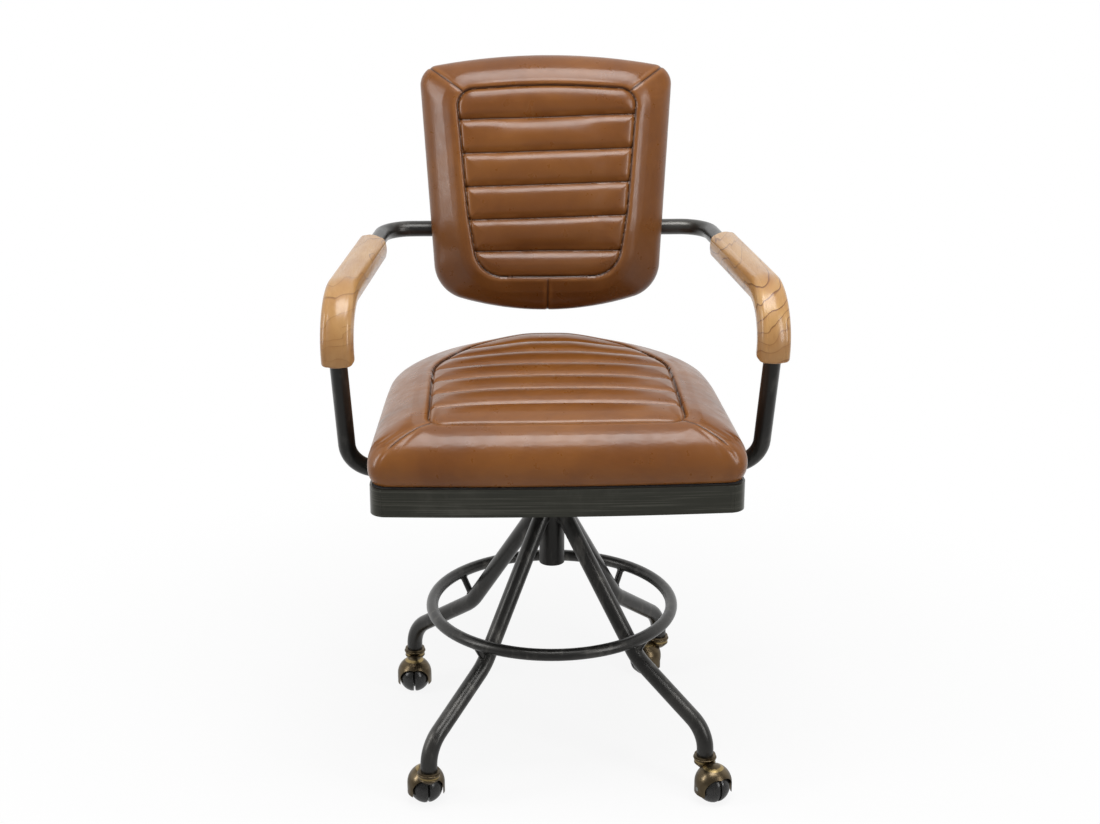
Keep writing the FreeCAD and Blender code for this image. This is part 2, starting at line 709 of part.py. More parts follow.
screws = []
for sx in (-1, 1):
    x0 = sx * saddle_x - saddle_width / 2
    cut_x = x0 - past
    cut_width = saddle_width + 2 * past
    strap = Part.makeCylinder(saddle_r, saddle_width, V(x0, tube_rear, arm_z), V(1, 0, 0))
    strap = strap.fuse(upright_box(x0, saddle_width, saddle_reach, panel_n - saddle_wall, panel_n))
    strap = strap.fuse(upright_box(x0, saddle_width, saddle_r, 0, panel_n))
    strap = strap.cut(upright_box(cut_x, cut_width, saddle_reach, panel_n, pad_n + saddle_reach))
    strap = strap.cut(Part.makeCylinder(tube_r, cut_width, V(cut_x, tube_rear, arm_z), V(1, 0, 0)))
    strap = strap.cut(upright_box(cut_x, cut_width, tube_r, 0, panel_n + past)).removeSplitter()
    for sv in (-1, 1):
        s = sv * (saddle_reach - saddle_flange / 2)
        start = on_back(sx * saddle_x, s, panel_n - saddle_wall)
        end = on_back(sx * saddle_x, s, pad_n - saddle_screw_short)
        hole = rod(start - axis_n * past, end, saddle_screw_d)
        strap = strap.cut(hole)
        back_panel = back_panel.cut(hole)
        back_board = back_board.cut(hole)
        head = rod(start - axis_n * saddle_screw_head_h, start, saddle_screw_head)
        screws.append(rod(start, end, saddle_screw_d).fuse(head))
    save("back_saddle_" + ("left" if sx < 0 else "right"), strap)
save("saddle_screws", Part.makeCompound(screws))
save("back_panel", back_panel)
save("back_board", back_board)
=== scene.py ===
import json
import math

import bpy
import numpy as np
from mathutils import Matrix, Vector, noise
from mathutils.bvhtree import BVHTree


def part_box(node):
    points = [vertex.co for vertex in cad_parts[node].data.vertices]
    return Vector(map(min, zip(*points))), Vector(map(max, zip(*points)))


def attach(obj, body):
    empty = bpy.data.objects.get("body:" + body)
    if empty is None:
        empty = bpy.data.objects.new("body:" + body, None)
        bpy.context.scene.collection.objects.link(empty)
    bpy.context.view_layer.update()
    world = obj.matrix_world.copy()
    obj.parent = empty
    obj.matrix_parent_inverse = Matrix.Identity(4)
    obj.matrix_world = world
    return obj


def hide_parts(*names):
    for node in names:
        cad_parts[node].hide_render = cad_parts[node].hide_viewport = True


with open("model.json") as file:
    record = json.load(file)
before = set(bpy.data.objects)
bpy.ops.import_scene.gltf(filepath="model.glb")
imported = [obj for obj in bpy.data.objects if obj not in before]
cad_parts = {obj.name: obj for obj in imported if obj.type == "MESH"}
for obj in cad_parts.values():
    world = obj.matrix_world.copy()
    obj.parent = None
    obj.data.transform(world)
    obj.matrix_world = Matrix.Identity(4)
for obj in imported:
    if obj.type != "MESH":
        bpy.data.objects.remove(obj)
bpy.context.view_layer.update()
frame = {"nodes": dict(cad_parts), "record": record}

# Looks of an office chair: leather cushions, lacquered wood, dark steel and brass.
# Metres, in the frame of the CAD model: floor at z = 0, swivel axis at x = y = 0, sitter faces -Y.

nodes = frame["nodes"]
corner_names = ["rear_right", "rear_left", "front_left", "front_right"]

# Camera, solved from the photograph
camera_azimuth = -2.0
camera_side = -0.0025
camera_away = 2.396
camera_height = 1.299
camera_dip = 18.91
camera_lens = 62.57
camera_sensor = 36.0

# Base and tube lines that the welds follow
leg_turn = 4.67
leg_radius = 0.011
knee = (0.145, 0.163)
leg_slope = math.radians(54.6)
ring_at = (0.1635, 0.2028)
strut_foot = (0.142, 0.168)
strut_radius = 0.0045
low_corner = (0.262, -0.112, 0.452)
tube_end = (0.205, -0.100, 0.432)
weld_radius = 0.0022
leg_run = 0.070             # of a point on the leg's upper run, out from the axis
strut_bead = 0.0016
strut_bead_points = 40
hoop_seam_x = 0.2165        # of the upright joints in the hoop's front

# Seat seams, in plan
seat_panel = [
    (0.0, -0.193, 2.0), (0.159, -0.190, 0.020), (0.158, 0.040, 0.140), (0.105, 0.168, 0.090),
    (0.0, 0.196, 0.30),
]
seat_mitre = ((0.154, -0.186), (0.226, -0.230))
seat_mitre_low = 0.484      # heights over which the mitre runs out down the corner
seat_mitre_high = 0.512
seat_droop = 0.013          # the leather's fall towards the rear corners
droop_parts = ((0.55, 0.02, 0.10), (0.45, 0.08, 0.18))  # share, and where aside it starts and ends
droop_along = (0.0, 0.17)   # towards the rear
droop_heights = (0.47, 0.51)
seat_creases = [
    (0.0085, 0.0011, 0.006, 0.020, 0.085),
    (-0.0080, 0.0009, 0.006, 0.012, 0.070),
    (0.0170, 0.0008, 0.007, 0.036, 0.090),
]
seat_first = -0.134
seat_pitch = 0.053
seat_rows = 6
seat_floor = 0.4583
seat_crown_low = 0.485      # heights over which the crown's smoothing fades in
seat_crown_high = 0.500
seat_stitch_half = 0.140    # half length of the first stitched line, and what each loses
seat_stitch_taper = 0.0004

# Back seams, across and up along the back from the middle of the tube
recline = math.radians(9.0)
tube_mid = Vector((0.0, 0.236, 0.672))
back_panel = [
    (0.0, 0.2015, 1.0), (0.1235, 0.194, 0.024), (0.1095, 0.025, 0.250), (0.0945, -0.0625, 0.040),
    (0.0, -0.0625, 1.0),
]
back_mitre = ((0.113, 0.190), (0.164, 0.226))
back_creases = [(0.007, 0.0006, 0.005, 0.012, 0.048)]
back_first = -0.0262
back_pitch = 0.0455
back_rows = 5
back_lean = 1.5             # degrees that all but the lowest row slope
middle_seam_full = -0.066   # heights over which the seam below the panel runs out
middle_seam_top = -0.062
board_front = 0.025
board_back = 0.016
board_gap = 0.0003          # between the board and the cushion
cover_gap = 0.0004          # between the wrapped leather and the rear cover
wrap_depth = 0.012          # of the leather that stretches back round the board
back_crown_low = 0.030      # where the crown's smoothing fades in, out from the tube's middle
back_crown_high = 0.042
back_stitch_half = 0.110    # half length of a stitched line
back_stitch_low = 0.096     # and of the lowest

# Leather forms
skin_voxel = 0.0032
air_pressure = 4.0
air_frames = 20
swell = 0.0048              # the most that a point moves
start_inset = 0.003
held_edge = 0.008           # a skin is held still this far up from its board
under_edge = 0.004          # and has no seams this far up
even_rounds = 60            # of averaging the swelling with its neighbours'
skin_proud = 0.0025
skin_shy = 0.0008
crown_shy = 0.006           # added to these on the crown
crown_proud = 0.007
crown_fade = 0.040          # band across a panel's outline over which the crown ends
shoulder_width = 0.050      # over which the back's border falls from its seam to the edge
shoulder_fall = 0.26        # share of its thickness that it loses there
seam_width = 0.006
seam_depth = 0.0026
row_width = 0.014
row_depth = 0.0040
row_crown = 0.0040
mitre_width = 0.004
mitre_depth = 0.0012
stitch_pitch = 0.0052
stitch_length = 0.0034
stitch_radius = 0.0004

# Caster hoods: their outside, and the rolled bead round their necks
hood_radius = 0.0246
hood_thick = 0.0016
bead_low = 0.0478
bead_high = 0.0506

# Height over which the arms' front ends darken towards the bottom, partly the wood's own darker tone and
# partly painted shade on their front faces
arm_end_low = 0.615
arm_end_high = 0.665

# Spindle thread
thread_pitch = 0.005
thread_depth = 0.0014


def srgb(r, g, b):
    """A colour as the shaders want it, from 0 to 255 as a screen shows it."""
    def linear(v):
        v = v / 255
        return v / 12.92 if v <= 0.04045 else ((v + 0.055) / 1.055) ** 2.4
    return (linear(r), linear(g), linear(b), 1.0)


def set_range(node, low, high, to_low, to_high):
    """The four ends of a Map Range node."""
    for socket, number in zip(("From Min", "From Max", "To Min", "To Max"), (low, high, to_low, to_high)):
        node.inputs[socket].default_value = number


class Finish:
    """A procedural material built node by node round one Principled shader."""

    def __init__(self, name, metallic=0.0, **fixed):
        self.material = bpy.data.materials.new(name)
        self.material.use_nodes = True
        self.tree = self.material.node_tree
        self.shader = self.tree.nodes["Principled BSDF"]
        self.shader.inputs["Metallic"].default_value = metallic
        for socket, value in fixed.items():
            self.shader.inputs[socket.replace("_", " ")].default_value = value
        self.place = self.add("ShaderNodeTexCoord").outputs["Object"]

    def add(self, kind, **settings):
        node = self.tree.nodes.new(kind)
        for key, value in settings.items():
            setattr(node, key, value)
        return node

    def link(self, source, target):
        self.tree.links.new(source, target)

    def stretched(self, scale, turn=(0.0, 0.0, 0.0)):
        node = self.add("ShaderNodeMapping")
        node.inputs["Scale"].default_value = scale
        node.inputs["Rotation"].default_value = turn
        self.link(self.place, node.inputs["Vector"])
        return node.outputs["Vector"]

    def noise(self, scale, detail=4.0, roughness=0.55, distortion=0.0, at=None):
        node = self.add("ShaderNodeTexNoise")
        node.inputs["Scale"].default_value = scale
        node.inputs["Detail"].default_value = detail
        node.inputs["Roughness"].default_value = roughness
        node.inputs["Distortion"].default_value = distortion
        self.link(at or self.place, node.inputs["Vector"])
        return node.outputs["Fac"]

    def cells(self, scale, feature="F1", at=None):
        node = self.add("ShaderNodeTexVoronoi", feature=feature)
        node.inputs["Scale"].default_value = scale
        self.link(at or self.place, node.inputs["Vector"])
        return node.outputs["Distance"]

    def ramp(self, value, stops):
        node = self.add("ShaderNodeValToRGB")
        ramp = node.color_ramp
        for i, (position, colour) in enumerate(stops):
            stop = ramp.elements[i] if i < 2 else ramp.elements.new(position)
            stop.position = position
            stop.color = colour
        self.link(value, node.inputs["Fac"])
        return node.outputs["Color"]

    def spread(self, value, low, high, to_low=0.0, to_high=1.0, smooth=True):
        node = self.add("ShaderNodeMapRange", interpolation_type="SMOOTHSTEP" if smooth else "LINEAR")
        set_range(node, low, high, to_low, to_high)
        self.link(value, node.inputs["Value"])
        return node.outputs["Result"]

    def sums(self, operation, *values):
        node = self.add("ShaderNodeMath", operation=operation)
        for socket, value in zip(node.inputs, values):
            if isinstance(value, (int, float)):
                socket.default_value = value
            else:
                self.link(value, socket)
        return node.outputs["Value"]

    def blend(self, share, first, second, how="MIX"):
        node = self.add("ShaderNodeMix", data_type="RGBA", blend_type=how)
        for socket, value in ((node.inputs[0], share), (node.inputs[6], first), (node.inputs[7], second)):
            if isinstance(value, (int, float, tuple)):
                socket.default_value = value
            else:
                self.link(value, socket)
        return node.outputs[2]

    def attribute(self, name):
        return self.add("ShaderNodeAttribute", attribute_name=name).outputs["Fac"]

    def colour(self, value):
        self.link(value, self.shader.inputs["Base Color"])

    def roughness(self, value):
        self.link(value, self.shader.inputs["Roughness"])

    def relief(self, height, distance, strength=1.0):
        """Bumps of the given real height, laid over those set before."""
        node = self.add("ShaderNodeBump")
        node.inputs["Strength"].default_value = strength
        node.inputs["Distance"].default_value = distance
        self.link(height, node.inputs["Height"])
        earlier = self.shader.inputs["Normal"]
        if earlier.is_linked:
            self.link(earlier.links[0].from_socket, node.inputs["Normal"])
        self.link(node.outputs["Normal"], earlier)


def leather(name, rows, pitch, low=0.0, high=0.001):
    """Waxed brown leather, with rows of channels; painted shade darkens the valleys of its seams round a
    dark seam line, and its lips are rubbed lighter and carry a painted highlight.

    Between the heights low and high it lightens from painted shade on its lower part, so it is darker
    towards the bottom.
    """
    f = Finish(name, Coat_Weight=0.10, Coat_Roughness=0.12, Specular_IOR_Level=0.50)
    patina = f.noise(7.0, 5.0, 0.6, 0.4)
    tone = f.ramp(patina, [(0.30, srgb(110, 62, 20)), (0.72, srgb(142, 89, 36)), (0.50, srgb(126, 75, 27))])
    height = f.add("ShaderNodeSeparateXYZ")
    f.link(f.place, height.inputs["Vector"])
    # painted shade: below the height high the leather darkens towards the bottom
    tone = f.blend(f.spread(height.outputs["Z"], low, high, 0.55, 0.10), tone, srgb(84, 46, 17))
    clouds = f.noise(22.0, 3.0, 0.55, 0.5)
    tone = f.blend(f.spread(clouds, 0.48, 0.78, 0.0, 0.28), tone, srgb(94, 52, 22))
    pulls = f.noise(5.0, 3.0, 0.5, 1.0, f.stretched((1.0, 6.0, 2.0)))
    tone = f.blend(f.spread(pulls, 0.62, 0.80, 0.0, 0.20), tone, srgb(160, 106, 54))
    if rows:
        border = f.attribute("border")
        row = f.attribute("row")
        nearest = f.sums("MAXIMUM", f.sums("MINIMUM", f.sums("ROUND", row), rows - 1.0), 0.0)
        from_row = f.sums("MULTIPLY", f.sums("ABSOLUTE", f.sums("SUBTRACT", row, nearest)), pitch)
        from_row = f.sums("ADD", from_row, f.sums("GREATER_THAN", border, 0.0))
        line = f.sums("MINIMUM", f.sums("ABSOLUTE", border), from_row)
        for seam in ("mitre", "middle"):
            off = f.sums("SUBTRACT", 1.0, f.attribute(seam + "_share"))
            reach = f.sums("ADD", f.sums("ABSOLUTE", f.attribute(seam)), f.sums("MULTIPLY", off, 0.02))
            line = f.sums("MINIMUM", line, reach)
        # lighter band beside each seam, partly rubbed wear and partly a painted highlight on the lips
        lip_wear_and_highlight = f.sums("MULTIPLY", f.spread(line, 0.0012, 0.0028), f.spread(line, 0.0035, 0.0090, 1.0, 0.0))
        rubbed = f.sums("MULTIPLY", lip_wear_and_highlight, f.spread(clouds, 0.35, 0.65, 0.06, 0.30))
        tone = f.blend(rubbed, tone, srgb(166, 112, 62))
        # painted shade in the seam valleys within 2.4 mm of each seam, then the thin dark seam line itself
        tone = f.blend(f.spread(line, 0.0, 0.0024, 0.35, 0.0), tone, srgb(70, 38, 16))
        tone = f.blend(f.spread(line, 0.0002, 0.0008, 0.85, 0.0), tone, srgb(44, 23, 11))
        f.relief(f.spread(line, 0.0001, 0.0012, 0.0, 1.0), 0.0003)
    f.colour(tone)
    wear = f.noise(60.0, 4.0)
    f.roughness(f.spread(wear, 0.3, 0.75, 0.27, 0.37))
    f.relief(f.cells(620.0), 0.00007, 0.35)
    f.relief(f.noise(180.0, 3.0, 0.5, 0.3), 0.00012, 0.35)
    f.relief(f.noise(20.0, 2.0, 0.5, 0.6, f.stretched((1.0, 2.2, 1.0))), 0.0011, 0.30)
    return f.material


def dark_steel(name, streaks, dark, worn, clouds):
    """Blackened steel under clear lacquer, brushed or rubbed through in places."""
    f = Finish(name, metallic=0.80, Coat_Weight=0.40, Coat_Roughness=0.28)
    rubbed = f.noise(9.0, 4.0, 0.6, 0.8)
    lines = f.noise(1.0, 3.0, 0.6, 0.2, f.stretched(streaks))
    tone = f.blend(f.spread(rubbed, 0.48, 0.80, 0.0, clouds), dark, worn)
    tone = f.blend(f.spread(lines, 0.50, 0.78, 0.0, 0.42), tone, worn)
    pits = f.noise(70.0, 5.0, 0.7)
    tone = f.blend(f.spread(pits, 0.62, 0.78, 0.0, 0.35), tone, srgb(22, 21, 19))
    f.colour(tone)
    f.roughness(f.spread(lines, 0.3, 0.7, 0.33, 0.43))
    f.relief(lines, 0.00003, 0.2)
    f.relief(pits, 0.00003, 0.12)
    return f.material


def aged_brass(rims):
    """Antique brass, brown on its broad faces and rubbed bright where an edge or rim is thin.

    rims are the middles of the hoods: a face nearer one than the hood's outside is its cut rim,
    and a face inside the hood, such as its web, is painted near-black as shade.
    """
    f = Finish("aged_brass", metallic=1.0)
    rubbed = f.noise(60.0, 5.0, 0.6, 0.6)
    brown = f.ramp(rubbed, [(0.30, srgb(80, 69, 53)), (0.75, srgb(116, 103, 82)), (0.52, srgb(96, 84, 65))])
    depth = None
    for middle in rims:
        away = f.add("ShaderNodeVectorMath", operation="DISTANCE")
        away.inputs[1].default_value = middle
        f.link(f.place, away.inputs[0])
        depth = away.outputs["Value"] if depth is None else f.sums("MINIMUM", depth, away.outputs["Value"])
    thin = f.spread(depth, hood_radius - 0.0005, hood_radius - 0.0002, 1.0, 0.0)
    heights = f.add("ShaderNodeSeparateXYZ")
    f.link(f.place, heights.inputs["Vector"])
    bead = f.sums("MULTIPLY", f.spread(heights.outputs["Z"], bead_low, bead_low + 0.0006),
                  f.spread(heights.outputs["Z"], bead_high - 0.0006, bead_high, 1.0, 0.0))
    bright = f.sums("MULTIPLY", f.sums("MAXIMUM", thin, bead), f.spread(rubbed, 0.25, 0.6, 0.45, 0.85))
    tone = f.blend(bright, brown, srgb(170, 148, 100))
    # painted shade: faces inside the hood, such as its web, are darkened near-black
    inside_shade = f.spread(depth, hood_radius - hood_thick - 0.0006, hood_radius - hood_thick - 0.0002, 1.0, 0.0)
    f.colour(f.blend(inside_shade, tone, srgb(26, 25, 24)))
    f.roughness(f.spread(rubbed, 0.3, 0.75, 0.36, 0.26))
    f.relief(f.noise(420.0, 3.0), 0.00008, 0.3)
    return f.material


def bright_steel():
    f = Finish("zinc_steel", metallic=1.0)
    turning = f.noise(1.0, 3.0, 0.5, 0.0, f.stretched((30.0, 30.0, 1200.0)))
    f.colour(f.ramp(turning, [(0.3, srgb(128, 128, 124)), (0.7, srgb(172, 172, 168))]))
    f.roughness(f.spread(turning, 0.3, 0.7, 0.26, 0.40))
    f.relief(turning, 0.00008, 0.4)
    return f.material


def bearing_bronze():
    f = Finish("bearing_bronze", metallic=1.0)
    grain = f.noise(300.0, 4.0)
    f.colour(f.ramp(grain, [(0.3, srgb(118, 88, 52)), (0.7, srgb(158, 124, 78))]))
    f.roughness(f.spread(grain, 0.3, 0.7, 0.32, 0.46))
    return f.material


def tread():
    f = Finish("wheel_polymer", Specular_IOR_Level=0.55)
    dust = f.noise(110.0, 5.0, 0.7)
    f.colour(f.ramp(dust, [(0.40, srgb(32, 31, 30)), (0.85, srgb(44, 43, 41))]))
    f.roughness(f.spread(dust, 0.3, 0.7, 0.22, 0.28))
    f.relief(f.noise(240.0, 2.0), 0.00003, 0.2)
    return f.material


def honey_wood():
    """Plain-sawn board under gloss lacquer: its growth layers lie nearly level, so they show
    as swirls on top of the arm and as lines across its front."""
    f = Finish("honey_wood", Coat_Weight=0.40, Coat_Roughness=0.16)
    board = f.stretched((1.0, 0.35, 1.0), (0.10, 0.12, 0.0))
    height = f.add("ShaderNodeSeparateXYZ")
    f.link(f.stretched((1.0, 1.0, 1.0), (0.16, 0.22, 0.0)), height.inputs["Vector"])
    warp = f.sums("MULTIPLY", f.noise(11.0, 3.0, 0.5, 0.8, board), 0.16)
    layers = f.sums("MULTIPLY", f.sums("ADD", height.outputs["Z"], warp), 52.0)
    rings = f.sums("FRACT", layers)
    strength = f.spread(f.noise(14.0, 2.0, 0.5, 0.0, board), 0.38, 0.60, 0.22, 0.95)
    early = f.spread(rings, 0.30, 0.95, 0.0, 0.30)
    figure = f.noise(20.0, 4.0, 0.6, 0.8, board)
    base = f.ramp(figure, [(0.30, srgb(168, 122, 70)), (0.72, srgb(196, 154, 98))])
    tone = f.blend(early, base, srgb(162, 112, 60))
    late = f.sums("MULTIPLY", f.spread(rings, 0.86, 0.97), strength)
    tone = f.blend(late, tone, srgb(104, 64, 32))
    heart = f.noise(7.0, 2.0, 0.5, 2.0, board)
    tone = f.blend(f.spread(heart, 0.56, 0.72, 0.0, 0.40), tone, srgb(150, 98, 52))
    ends = f.add("ShaderNodeSeparateXYZ")
    f.link(f.place, ends.inputs["Vector"])
    # partly the wood's darker tone and partly painted shade: the arms' lower front ends darken below
    # arm_end_high
    darker_end_and_shade = f.spread(ends.outputs["Z"], arm_end_low, arm_end_high, 0.45, 0.0)
    tone = f.blend(darker_end_and_shade, tone, srgb(138, 92, 50))
    pores = f.noise(1.0, 3.0, 0.6, 0.0, f.stretched((700.0, 60.0, 700.0)))
    tone = f.blend(f.spread(pores, 0.60, 0.74, 0.0, 0.28), tone, srgb(160, 112, 66))
    f.colour(tone)
    f.roughness(f.spread(pores, 0.3, 0.7, 0.28, 0.40))
    f.relief(pores, 0.00006, 0.3)
    return f.material


def plywood():
    f = Finish("plywood")
    plies = f.noise(1.0, 2.0, 0.5, 0.2, f.stretched((6.0, 6.0, 700.0)))
    grain = f.noise(1.0, 4.0, 0.6, 0.6, f.stretched((12.0, 260.0, 260.0)))
    tone = f.ramp(plies, [(0.42, srgb(150, 112, 70)), (0.58, srgb(196, 160, 112))])
    f.colour(f.blend(f.spread(grain, 0.5, 0.75, 0.0, 0.4), tone, srgb(128, 90, 54)))
    f.roughness(f.spread(grain, 0.3, 0.7, 0.55, 0.72))
    f.relief(grain, 0.0002, 0.5)
    return f.material


def lining_cloth_and_edge_shade():
    """Black lining stretched under the seat board, and over its edge as painted shade in the gap between
    the cushion and the hoop.
    """
    f = Finish("lining_cloth_and_edge_shade", Sheen_Weight=0.15)
    weft = f.noise(1.0, 2.0, 0.5, 0.0, f.stretched((900.0, 90.0, 200.0)))
    warp = f.noise(1.0, 2.0, 0.5, 0.0, f.stretched((90.0, 900.0, 200.0)))
    weave = f.sums("MULTIPLY", weft, warp)
    f.colour(f.ramp(weave, [(0.12, srgb(16, 15, 14)), (0.45, srgb(40, 37, 34))]))
    f.roughness(f.spread(weave, 0.1, 0.5, 0.75, 0.95))
    f.relief(weave, 0.0003, 0.6)
    return f.material


def thread_finish():
    f = Finish("sewing_thread", Sheen_Weight=0.3)
    twist = f.noise(1500.0, 2.0)
    f.colour(f.ramp(twist, [(0.35, srgb(150, 104, 62)), (0.70, srgb(202, 160, 112))]))
    f.roughness(f.spread(twist, 0.3, 0.7, 0.5, 0.7))
    return f.material


joints = frame["record"]["behaviour"]["joints"]
hood_middles = [tuple(joint["pos_m"]) for joint in joints if joint["name"].startswith("wheel_spin_a_")]
finishes = {
    "tube_metal": dark_steel("blackened_tube", (60.0, 60.0, 14.0),
                             srgb(52, 51, 49), srgb(128, 125, 119), 0.22),
    "hoop_metal": dark_steel("brushed_hoop", (5.0, 5.0, 520.0),
                             srgb(68, 68, 60), srgb(156, 154, 142), 0.15),
    "bracket_metal": dark_steel("bracket_steel", (40.0, 40.0, 40.0),
                                srgb(40, 40, 38), srgb(86, 85, 80), 0.4),
    "bright_steel": bright_steel(),
    "bearing_metal": bearing_bronze(),
    "aged_brass": aged_brass(hood_middles),
    "wheel_tread": tread(),
    "arm_wood": honey_wood(),
    "plywood": plywood(),
    "leather": leather("cover_leather", 0, 1.0),
}
seat_finish = leather("seat_leather_finish", seat_rows, seat_pitch)
# the back's leather carries painted shade, darker towards the bottom below 0.92 m
back_finish = leather("back_leather_finish", back_rows, back_pitch, 0.60, 0.92)
thread = thread_finish()


def dress(piece, slot, finish=None):
    """Gives a piece the finish of one of the record's slots, or its own version of it."""
    piece.data.materials.clear()
    piece.data.materials.append(finish or finishes[slot])


def new_piece(name, mesh, body):
    piece = bpy.data.objects.new(name, mesh)
    bpy.context.scene.collection.objects.link(piece)
    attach(piece, body)
    return piece


def smooth(mesh):
    mesh.polygons.foreach_set("use_smooth", [True] * len(mesh.polygons))


def places(mesh):
    flat = np.empty(len(mesh.vertices) * 3, np.float32)
    mesh.vertices.foreach_get("co", flat)
    return flat.reshape(-1, 3).astype(np.float64)


def set_places(mesh, points):
    mesh.vertices.foreach_set("co", points.astype(np.float32).ravel())
    mesh.update()


def outward(mesh):
    flat = np.empty(len(mesh.vertices) * 3, np.float32)
    mesh.vertex_normals.foreach_get("vector", flat)
    return flat.reshape(-1, 3).astype(np.float64)


def settle(piece):
    """Makes the piece's modifiers part of its mesh."""
    graph = bpy.context.evaluated_depsgraph_get()
    mesh = bpy.data.meshes.new_from_object(piece.evaluated_get(graph))
    piece.modifiers.clear()
    piece.data = mesh


straight_corner = math.radians(89.5)


def rounded(corners, steps=10):
    """Closed outline through the corners of its right half, each given as across, along and radius."""
    right = [Vector(c[:2]) for c in corners]
    radii = [c[2] for c in corners]
    ring = right + [Vector((-p.x, p.y)) for p in reversed(right[1:-1])]
    turns = radii + list(reversed(radii[1:-1]))
    line = []
    for i, corner in enumerate(ring):
        before = ring[i - 1] - corner
        after = ring[(i + 1) % len(ring)] - corner
        room = min(before.length, after.length) / 2
        before.normalize()
        after.normalize()
        half = before.angle(after) / 2
        if half > straight_corner:
            line.append(corner)
            continue
        reach = min(turns[i] / math.tan(half), room)
        radius = reach * math.tan(half)
        hub = corner + (before + after).normalized() * (radius / math.sin(half))
        first = corner + before * reach - hub
        last = corner + after * reach - hub
        for k in range(steps + 1):
            line.append(hub + (first.lerp(last, k / steps)).normalized() * radius)
    return np.array([tuple(p) for p in line])


def tree_of(mesh):
    return BVHTree.FromPolygons([v.co for v in mesh.vertices], [p.vertices[:] for p in mesh.polygons])


def off_segments(points, starts, ends):
    """Distance of each point from the nearest of the straight runs."""
    best = np.full(len(points), 1e9)
    for a, b in zip(starts, ends):
        run = b - a
        share = np.clip(((points - a) @ run) / max(run @ run, 1e-12), 0.0, 1.0)
        best = np.minimum(best, np.linalg.norm(points - a - share[:, None] * run, axis=1))
    return best


def off_outline(points, outline):
    """Signed distance from a closed outline, negative inside."""
    ends = np.roll(outline, -1, axis=0)
    away = off_segments(points, outline, ends)
    inside = np.zeros(len(points), bool)
    x, y = points[:, 0], points[:, 1]
    for a, b in zip(outline, ends):
        crosses = (a[1] > y) != (b[1] > y)
        if a[1] != b[1]:
            inside ^= crosses & (x < (b[0] - a[0]) * (y - a[1]) / (b[1] - a[1]) + a[0])
    return np.where(inside, -away, away)


def fold(away, width, depth, sharp=2):
    """Depth of a sewn valley at a distance from its seam."""
    return depth * (1.0 - np.clip(np.abs(away) / width, 0.0, 1.0)) ** sharp


def skin_from(node, name, crown):
    """A new closed skin of even faces over a CAD cushion, drawn in a little.

    crown gives each point's share, from 0 to 1, in the smoothing of the cushion's face.
    """
    piece = bpy.data.objects.new(name, nodes[node].data.copy())
    bpy.context.scene.collection.objects.link(piece)
    remesh = piece.modifiers.new("skin", "REMESH")
    remesh.mode = "VOXEL"
    remesh.voxel_size = skin_voxel
    settle(piece)
    weight = piece.vertex_groups.new(name="crown")
    for i, share in enumerate(crown(places(piece.data))):
        if share > 0.01:
            weight.add([i], float(share), "REPLACE")
    calm = piece.modifiers.new("calm", "SMOOTH")
    calm.iterations = 160
    calm.vertex_group = "crown"
    relax = piece.modifiers.new("relax", "SMOOTH")
    relax.iterations = 6
    settle(piece)
    piece.vertex_groups.clear()
    set_places(piece.data, places(piece.data) - outward(piece.data) * start_inset)
    return piece


def evened(mesh, values, rounds):
    """The values of the points, each averaged with its neighbours' again and again."""
    pairs = np.empty(len(mesh.edges) * 2, np.int32)
    mesh.edges.foreach_get("vertices", pairs)
    first, second = pairs[0::2], pairs[1::2]
    count = np.bincount(pairs, minlength=len(values)).astype(float)[:, None] + 1.0
    for _ in range(rounds):
        total = values.copy()
        for axis in range(3):
            total[:, axis] += np.bincount(first, values[second, axis], len(values))
            total[:, axis] += np.bincount(second, values[first, axis], len(values))
        values = total / count
    return values


def swollen(piece, held):
    """Fills the skin with air while its held points stay, then evens what each point moved."""
    before = places(piece.data)
    group = piece.vertex_groups.new(name="held")
    group.add([int(i) for i in np.nonzero(held(before))[0]], 1.0, "REPLACE")
    cloth = piece.modifiers.new("air", "CLOTH")
    cloth.settings.vertex_group_mass = "held"
    cloth.settings.use_pressure = True
    cloth.settings.uniform_pressure_force = air_pressure
    cloth.settings.effector_weights.gravity = 0.0
    cloth.point_cache.frame_end = air_frames
    for step in range(1, air_frames + 1):
        bpy.context.scene.frame_set(step)
    settle(piece)
    bpy.context.scene.frame_set(1)
    piece.vertex_groups.clear()
    moved = evened(piece.data, places(piece.data) - before, even_rounds)
    far = np.linalg.norm(moved, axis=1).max()
    set_places(piece.data, before + moved * min(1.0, swell / far))


def refine(piece):
    subdivide = piece.modifiers.new("refine", "SUBSURF")
    subdivide.levels = 1
    subdivide.render_levels = 1
    settle(piece)
    smooth(piece.data)


def keep_to(piece, node, crown):
    """Holds the skin near the CAD cushion's surface, more loosely on its crown."""
    tree = tree_of(nodes[node].data)
    points = places(piece.data)
    loose = crown(points)
    shy = skin_shy + crown_shy * loose
    proud = skin_proud + crown_proud * loose
    for i, p in enumerate(points):
        hit, normal, _, distance = tree.find_nearest(Vector(p))
        signed = distance if (Vector(p) - hit).dot(normal) > 0 else -distance
        wanted = min(max(signed, -shy[i]), proud[i])
        if wanted != signed:
            direction = (Vector(p) - hit).normalized() * (1 if signed > 0 else -1)
            points[i] = hit + direction * wanted
    set_places(piece.data, points)


